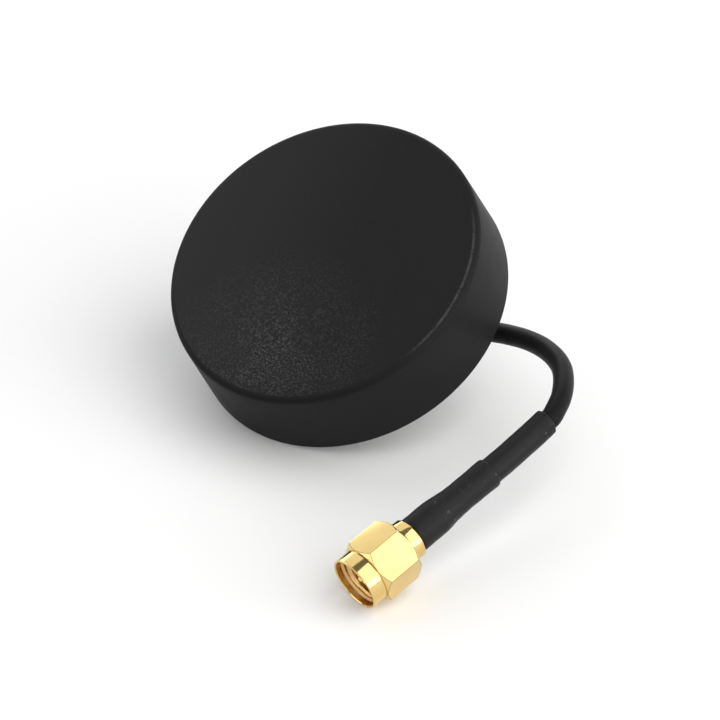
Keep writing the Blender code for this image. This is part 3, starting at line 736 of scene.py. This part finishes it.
plugParts = {
    # name: outline of (radius, height) in mm, steps round, finish, slot, CAD node, smoothing angle
    "plugBody": ([
        (1.5, 14.3), (1.5, 10.0), (2.73, 10.0), (2.82, 9.96), (2.85, 9.88), (2.85, 8.57), (2.82, 8.48),
        (2.73, 8.45), (2.4, 8.45), (2.4, 7.1), (2.1, 7.1), (2.1, 6.2), (2.4, 6.2), (2.4, 2.05), (2.3, 1.9),
        (2.15, 1.9), (2.05, 2.0), (2.05, 5.6), (1.5, 5.6), (1.5, 8.8), (0.9, 8.8), (0.9, 14.3),
    ], 128, "polishedGold", "gold", "connector_body", 24),
    "plugInsulator": ([
        (1.2, 8.5), (1.2, 5.3), (1.8, 5.3), (1.8, 2.35), (1.72, 2.2), (0.8, 2.2), (0.75, 2.25), (0.75, 8.5),
    ], 64, "turnedPtfe", "ptfe", "ptfe_insulator", 32),
    "centrePin": ([
        (0, 9.0), (0.46, 9.0), (0.46, 1.3), (0.4, 1.12), (0.3, 0.98), (0.16, 0.91), (0, 0.9),
    ], 48, "polishedGold", "gold", "centre_pin", 40),
    "snapRing": ([
        (2.95, 6.85), (2.95, 6.45), (2.9, 6.4), (2.25, 6.4), (2.2, 6.45), (2.2, 6.85), (2.25, 6.9),
        (2.9, 6.9),
    ], 96, "springBronze", "spring_bronze", "snap_ring", 32),
    "crimpFerrule": ([
        (2.0, 14.7), (2.0, 12.6), (1.94, 12.4), (1.94, 11.4), (2.0, 11.2), (2.0, 10.4), (1.9, 10.3),
        (1.7, 10.3), (1.7, 14.8), (1.9, 14.8),
    ], 64, "polishedGold", "gold", "crimp_ferrule", 32),
}
ringGap = {"size": (4, 1, 2), "centre": (3, 0, 6.4)}
gasket = {"outer": 2.85, "inner": 2.72, "low": 4.7, "high": 5.0, "round": 0.1}


def makePlugParts():
    for name, (outline, steps, surface, slotName, node, angle) in plugParts.items():
        piece = latheSolid(name, outline, steps)
        if name == "snapRing":
            shapeWith(piece, boxBlank("ringGap", ringGap["size"], ringGap["centre"]))
        finishPiece(piece, plugPlace, "antenna", surface, [node], angle)


def makeGasket():
    outer, inner, soft = gasket["outer"], gasket["inner"], gasket["round"]
    piece = latheSolid("nutGasket", [
        *arcPoints((outer, gasket["high"]), soft, 0, 90, 3),
        *arcPoints((inner, gasket["high"]), soft, 90, 180, 3),
        *arcPoints((inner, gasket["low"]), soft, 180, 270, 3),
        *arcPoints((outer, gasket["low"]), soft, 270, 360, 3),
    ], 96)
    finishPiece(piece, plugPlace, "plug_nut", "redSilicone", ["nut_gasket"])


def makeSleeves():
    front, step = sleeves["front"], sleeves["step"]
    ferrule, over, under = sleeves["ferruleRadius"], sleeves["outerRadius"], sleeves["innerRadius"]
    # the outer sleeve, drawn in over the end of the ferrule
    shape = [
        (ferrule - 0.06, front), (ferrule, front + 0.12), (ferrule, 13.9), (ferrule - 0.03, 14.6),
        (ferrule - 0.12, 15.4), (over + 0.12, 16.5), (over + 0.03, 17.5), (over, 19.0), (over, 21.5),
        (over + 0.03, 23.0), (over + 0.05, 23.8), (over, step - 0.08), (over - 0.1, step),
    ]
    rows = []
    for (r0, z0), (r1, z1) in zip(shape, shape[1:]):
        count = max(1, ceil((z1 - z0) / sleeves["rowSpacing"]))
        rows += [(r0 + (r1 - r0) * i / count, z0 + (z1 - z0) * i / count) for i in range(count)]
    rows.append(shape[-1])
    inner = [(ferrule - 0.3, front), (ferrule - 0.3, 15.0), (under + 0.02, 17.2), (under + 0.02, step)]
    outer = latheSolid("outerSleeve", [*reversed(rows), *inner], 96)
    wrinkleSleeve(outer, 0.05, front + 0.2, 23.9)
    finishPiece(outer, plugPlace, "antenna", "shrunkSleeve", ["outer_sleeve"], 40)
    start, end = sleeves["innerStart"], sleeves["end"]
    rows = rowsBetween(under, start, end - 0.12, 0.4)
    tube = latheSolid("innerSleeve", [
        (under - 0.12, end), *reversed(rows), (sleeves["bore"], start), (sleeves["bore"], end)], 96)
    wrinkleSleeve(tube, 0.03, 24.5, end)
    for vertex in tube.data.vertices:
        vertex.co.x += sleeveMiddle(vertex.co.z / mm).x * mm
    finishPiece(tube, plugPlace, "antenna", "shrunkSleeve", ["inner_sleeve"], 40)


def wrinkleSleeve(piece, depth, low, high):
    # small uneven dents, as heat leaves in shrunk tubing
    for vertex in piece.data.vertices:
        x, y, z = vertex.co / mm
        across = hypot(x, y)
        if across > sleeves["bore"] + 0.1 and low < z < high:
            fade = min(1, (z - low) / 0.5, (high - z) / 0.5)
            wave = noise.noise(Vector((x * 0.5, y * 0.5, z * 0.6)))
            wave += 0.4 * noise.noise(Vector((x, y, z * 1.8)))
            vertex.co.x *= 1 + depth * wave * fade / across
            vertex.co.y *= 1 + depth * wave * fade / across


makeCouplingNut()
makePlugParts()
makeGasket()
makeSleeves()
print("plug made")


# stud, nut and washer

stud = {
    "radius": 6.0, "depth": 0.55, "pitch": 1.0, "bore": 3.5, "flange": 9.0, "flangeLow": 1.2,
    "flangeHigh": 2.0, "slotWidth": 3.6, "slotTop": -4.4,
}


def makeStud():
    _, studEnd, _ = reachOf("mounting_stud", puckPlace)
    rows = rowsBetween(stud["radius"], -0.2, studEnd + 0.5, stud["pitch"] / 8)
    piece = latheSolid("mountStud", [
        (stud["flange"] - 0.1, stud["flangeHigh"]), (stud["flange"], stud["flangeHigh"] - 0.1),
        (stud["flange"], stud["flangeLow"] + 0.1), (stud["flange"] - 0.1, stud["flangeLow"]),
        (stud["radius"], stud["flangeLow"]), *rows, (stud["radius"] - 0.5, studEnd),
        (stud["bore"] + 0.2, studEnd), (stud["bore"], studEnd + 0.2), (stud["bore"], stud["flangeHigh"])], 96)
    rollThread(piece, stud["radius"], stud["depth"], stud["pitch"], studEnd + 0.5, -0.2)
    slot = boxBlank("slot", (10, stud["slotWidth"], 10), (0, 0, 0))
    slot.data.transform(Matrix.Rotation(radians(cable["slotTurn"]), 4, "Z")
                        @ Matrix.Translation(Vector((5, 0, stud["slotTop"] - 5)) * mm))
    shapeWith(piece, slot)
    finishPiece(piece, puckPlace, "antenna", "zincPlate", ["mounting_stud"], 26)


studNut = {"flats": 17.0, "ease": 0.9, "steepness": 0.55, "edge": 0.12, "clearance": 0.28, "threadDepth": 0.2}


def makeStudNut():
    _, low, high = reachOf("mounting_nut", puckPlace)
    flats = studNut["flats"]
    corner = flats / 2 / cos(pi / 6)
    ease = (corner - flats / 2) * studNut["ease"]
    drop = ease * studNut["steepness"]
    piece = hexBlank("studNut", flats, low, high)
    envelope = latheSolid("envelope", [
        (0, high), (corner - ease, high), (corner + 0.1, high - drop), (corner + 0.1, low + drop),
        (corner - ease, low), (0, low)], 144)
    shapeWith(piece, envelope, "INTERSECT")
    softenEdges(piece, studNut["edge"], 2, 20)
    bore = stud["radius"] + studNut["clearance"]
    mouth = bore + 0.25
    rows = rowsBetween(bore, low + 0.25, high - 0.25, stud["pitch"] / 8)
    tool = latheSolid("tapped", [
        (0, high + 1), (mouth, high + 1), (mouth, high), *reversed(rows), (mouth, low), (mouth, low - 1),
        (0, low - 1)], 96)
    rollThread(tool, bore, studNut["threadDepth"], stud["pitch"], low + 0.25, high - 0.25)
    shapeWith(piece, tool)
    finishPiece(piece, puckPlace, "stud_nut", "zincPlate", ["mounting_nut"], 26)


toothWasher = {
    "width": 1.1, "thickness": 0.44, "teeth": 20, "tooth": (1.25, 1.3, 0.34), "inset": 0.68,
    "twist": 11,
}


def makeToothWasher():
    # a ring with one twisted tooth copied round it
    radius, low, high = reachOf("lock_washer", puckPlace)
    middle = (low + high) / 2
    half = toothWasher["thickness"] / 2
    outer, bore = radius - toothWasher["width"], stud["radius"] + 0.35
    piece = latheSolid("toothWasher", [
        (outer, middle + half), (outer + 0.05, middle), (outer, middle - half),
        (bore, middle - half), (bore - 0.05, middle), (bore, middle + half)], 96)
    count = toothWasher["teeth"]
    teeth = []
    for i in range(count):
        tooth = boxBlank(f"tooth{i}", toothWasher["tooth"], (0, 0, 0))
        tooth.data.transform(Matrix.Rotation(tau * i / count, 4, "Z")
                             @ Matrix.Translation(Vector((radius - toothWasher["inset"], 0, middle)) * mm)
                             @ Matrix.Rotation(radians(toothWasher["twist"]), 4, "X"))
        teeth.append(tooth)
    pick(piece)
    for tooth in teeth:
        tooth.select_set(True)
    bpy.ops.object.join()
    softenEdges(piece, 0.04, 1, 30)
    finishPiece(piece, puckPlace, "stud_washer", "zincPlate", ["lock_washer"], 30)


makeStud()
makeStudNut()
makeToothWasher()
print("stud, nut and washer made")


# base, pad, seal and screws

base = {"pocketDepth": 0.9, "clearance": 0.3, "screwHole": 1.25, "headHole": 2.2, "seat": 1.3}


def makeBase():
    radius, low, high = reachOf("base_plate", puckPlace)
    centre, pocket = stud["radius"] + base["clearance"], stud["flange"] + base["clearance"]
    piece = latheSolid("basePlate", [
        (radius - 0.15, high), (radius, high - 0.15), (radius, low + 0.2), (radius - 0.2, low),
        (centre + 0.2, low), (centre, low + 0.2), (centre, base["pocketDepth"]),
        (pocket, base["pocketDepth"]), (pocket, high)], 160)
    screw, head, seat = base["screwHole"], base["headHole"], base["seat"]
    for i, turn in enumerate(screwTurns):
        hole = latheSolid(f"hole{i}", [
            (0, 4), (screw, 4), (screw, seat), (head, seat), (head, low + 0.1), (head + 0.1, low),
            (head + 0.1, -1), (0, -1)], 32)
        hole.data.transform(screwShift(turn))
        shapeWith(piece, hole)
    finishPiece(piece, puckPlace, "antenna", "basePlastic", ["base_plate"])


pad = {"bore": 10.4, "soft": 0.18, "rings": (13, 16), "uneven": 0.05}


def makePad():
    radius, low, high = reachOf("foam_pad", puckPlace)
    bore, soft = pad["bore"], pad["soft"]
    near, far = pad["rings"]
    piece = latheSolid("foamPad", [
        *arcPoints((radius - soft, high - soft), soft, 90, 0, 3),
        *arcPoints((radius - soft, low + soft), soft, 0, -90, 3), (far, low), (near, low),
        *arcPoints((bore + soft, low + soft), soft, 270, 180, 3),
        *arcPoints((bore + soft, high - soft), soft, 180, 90, 3), (near, high), (far, high)], 160)
    for vertex in piece.data.vertices:
        x, y, z = vertex.co / mm
        vertex.co *= 1 + pad["uneven"] * noise.noise(Vector((x * 0.7, y * 0.7, z))) / radius
    finishPiece(piece, puckPlace, "antenna", "closedFoam", ["foam_pad"], 60)


seal = {"bore": 19.7}


def makeSeal():
    radius, low, high = reachOf("seal_ring", puckPlace)
    lobe = (high - low) / 2
    middle = (low + high) / 2
    piece = latheSolid("sealRing", [
        *arcPoints((radius - lobe, middle), lobe, -80, 80, 8),
        *arcPoints((seal["bore"] + lobe, middle), lobe, 100, 260, 8)], 160)
    finishPiece(piece, puckPlace, "antenna", "sealRubber", ["seal_ring"], 60)


baseScrew = {
    "radius": 0.95, "pitch": 0.8, "threadDepth": 0.25, "headHeight": 0.7, "recess": (2.0, 0.42, 0.9),
    "firstTurn": 0.2, "nextTurn": 0.7,
}


def makeScrews():
    # one screw with a crossed recess and a rolled thread, then its copies
    screwPlace = puckPlace @ screwShift(0)
    radius, low, high = reachOf("base_screw_1", screwPlace)
    headTop = low + baseScrew["headHeight"]
    shank = baseScrew["radius"]
    rows = rowsBetween(shank, high - 0.4, headTop, baseScrew["pitch"] / 8)
    first = latheSolid("baseScrew1", [
        (0, high), (0.3, high), *rows, (radius - 0.1, headTop), (radius, headTop - 0.1), (radius, low + 0.25),
        (radius - 0.25, low + 0.05), (radius - 0.7, low), (0, low)], 40)
    rollThread(first, shank, baseScrew["threadDepth"], baseScrew["pitch"], headTop + 0.1, high - 0.3)
    for turn in (0, pi / 2):
        shapeWith(first, boxBlank("recess", baseScrew["recess"], (0, 0, low), turn))
    spare = first.data.copy()
    for i, turn in enumerate(screwTurns):
        piece = first
        if i:
            piece = bpy.data.objects.new(f"baseScrew{i + 1}", spare.copy())
            bpy.context.scene.collection.objects.link(piece)
        driven = Matrix.Rotation(baseScrew["nextTurn"] * i + baseScrew["firstTurn"], 4, "Z")
        place = puckPlace @ screwShift(turn) @ driven
        finishPiece(piece, place, "antenna", "zincPlate", [f"base_screw_{i + 1}"])


makeBase()
makePad()
makeSeal()
makeScrews()
print("base made")


# electronics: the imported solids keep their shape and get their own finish

finishes = {
    "circuit_board": "solderMask", "shield_can": "tinPlate",
    "lna_chip": "chipEpoxy", "saw_filter": "chipEpoxy",
    "patch_tape": "foamTape", "patch_ceramic": "firedCeramic", "patch_electrode": "firedSilver",
    "patch_feed_pin": "firedSilver", "coax_braid_end": "tinPlate", "coax_core_end": "springBronze",
}
for node, surface in finishes.items():
    for materialSlot in frame["nodes"][node].material_slots:
        materialSlot.material = surfaces[surface]
print("electronics finished")


# floor

floorLook = {"size": 6.0, "colour": (0.885, 0.885, 0.885), "roughness": 0.8, "specular": 0.2}


def makeFloor():
    deselectAll()
    bpy.ops.mesh.primitive_plane_add(size=floorLook["size"])
    floor = bpy.context.object
    floor.name = "studioFloor"
    made, *_ = newMaterial(
        "paleFloor", floorLook["colour"], floorLook["roughness"], 0, floorLook["specular"])
    floor.data.materials.append(made)


makeFloor()
